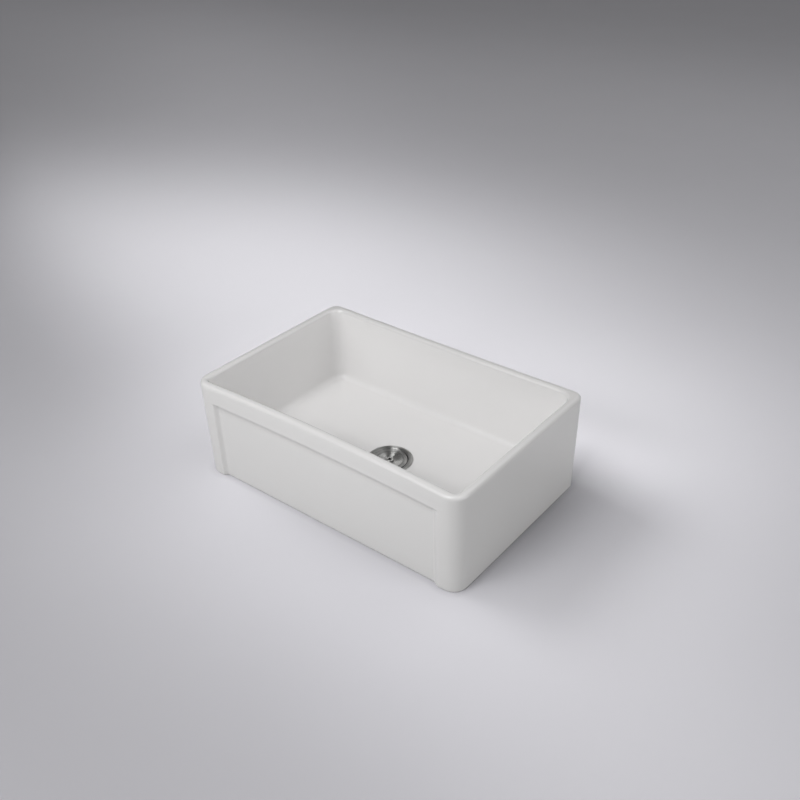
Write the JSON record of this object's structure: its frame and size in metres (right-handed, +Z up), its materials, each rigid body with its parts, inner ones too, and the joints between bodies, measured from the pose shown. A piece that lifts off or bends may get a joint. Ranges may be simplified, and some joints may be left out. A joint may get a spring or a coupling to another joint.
{
  "type": "farmhouse apron front sink",
  "caption": "Apron front kitchen sink in glazed fireclay, a single bowl with a recessed front panel, with a steel drain strainer whose lid and basket lift out.",
  "frame": {"origin": "middle of the basin's plan on the plane that it stands on, below the drain", "axes": "+X along the apron to the right as seen from the front, +Y from the apron to the back, +Z up"},
  "size_m": [0.7616, 0.4926, 0.254],
  "materials": {
    "fireclay": "white gloss glaze",
    "brushed_steel": "brushed in circles",
    "rubber": "matt black",
    "fibre": "matt brown fibre",
    "brass": "plain cast",
    "plastic": "off-white, moulded"
  },
  "bodies": {
    "sink": {"basin": "fireclay", "strainer_body": "brushed_steel", "flange_seal": "rubber", "lower_gasket": "rubber", "friction_ring": "fibre", "locknut": "brass", "outlet_washer": "rubber", "coupling_nut": "plastic"},
    "basket": {"basket_cup": "brushed_steel", "basket_post": "brushed_steel", "post_nut": "brushed_steel"},
    "lid": {"lid_plate": "brushed_steel", "lid_seal": "rubber", "lid_knob": "brushed_steel", "knob_washer": "rubber", "knob_screw": "brushed_steel"}
  },
  "joints": [
    {"name": "basket_lift", "type": "slide", "parent": "sink", "child": "basket", "axis": [0, 0, 1], "range_m": [0, 0.26]},
    {"name": "lid_lift", "type": "slide", "parent": "basket", "child": "lid", "axis": [0, 0, 1], "range_m": [0, 0.24]}
  ]
}
